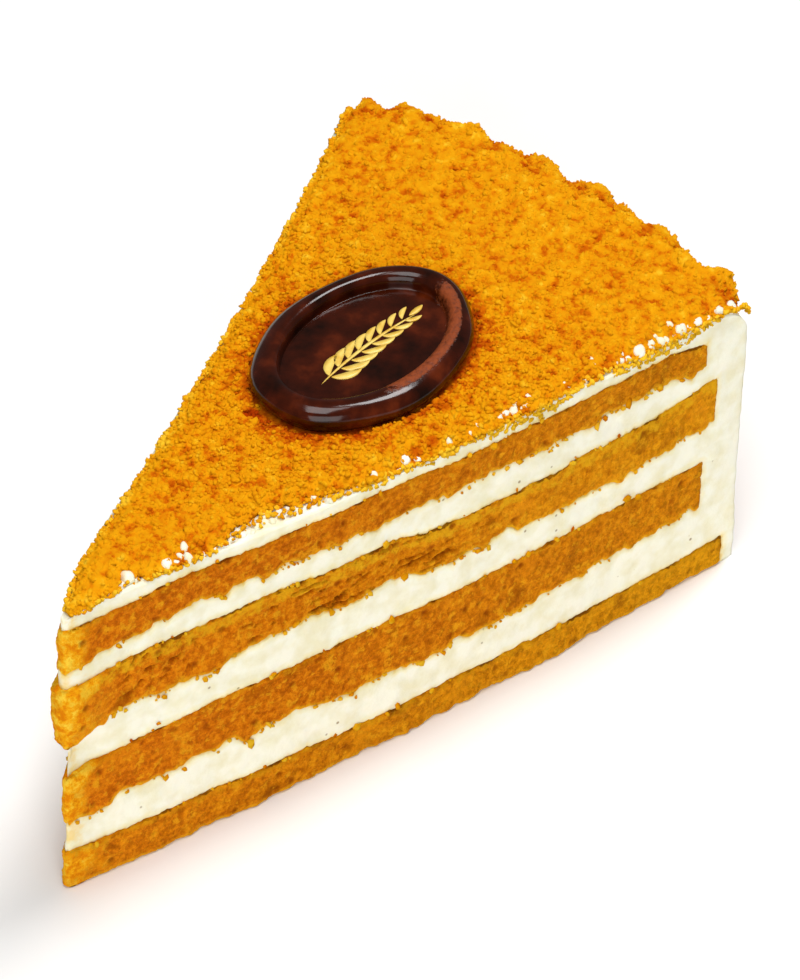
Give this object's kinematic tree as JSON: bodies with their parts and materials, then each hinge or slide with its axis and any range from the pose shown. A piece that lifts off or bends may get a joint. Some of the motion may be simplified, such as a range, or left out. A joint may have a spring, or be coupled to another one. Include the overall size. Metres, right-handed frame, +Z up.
{
  "type": "honey cake slice",
  "caption": "Wedge of layered honey cake: sponges with cream between, a cream coat, a skin of crumbs and an oval chocolate seal on top.",
  "frame": {"origin": "middle of the slice's box on the surface that it stands on", "axes": "+X from the cut tip to the rim of the cake, +Z up, the cut face of the picture towards -Y"},
  "size_m": [0.1218, 0.0726, 0.0565],
  "materials": {
    "sponge": "matte",
    "base_sponge": "matte",
    "cream": "satin",
    "crumbs": "matte",
    "chocolate": "gloss",
    "gold_print": "satin"
  },
  "bodies": {
    "root": {"sponge_1": "base_sponge", "sponge_2": "sponge", "sponge_3": "sponge", "sponge_4": "sponge", "filling_1": "cream", "filling_2": "cream", "filling_3": "cream", "cream_coat": "cream", "crumb_coat": "crumbs", "chocolate_seal": "chocolate"}
  },
  "joints": []
}
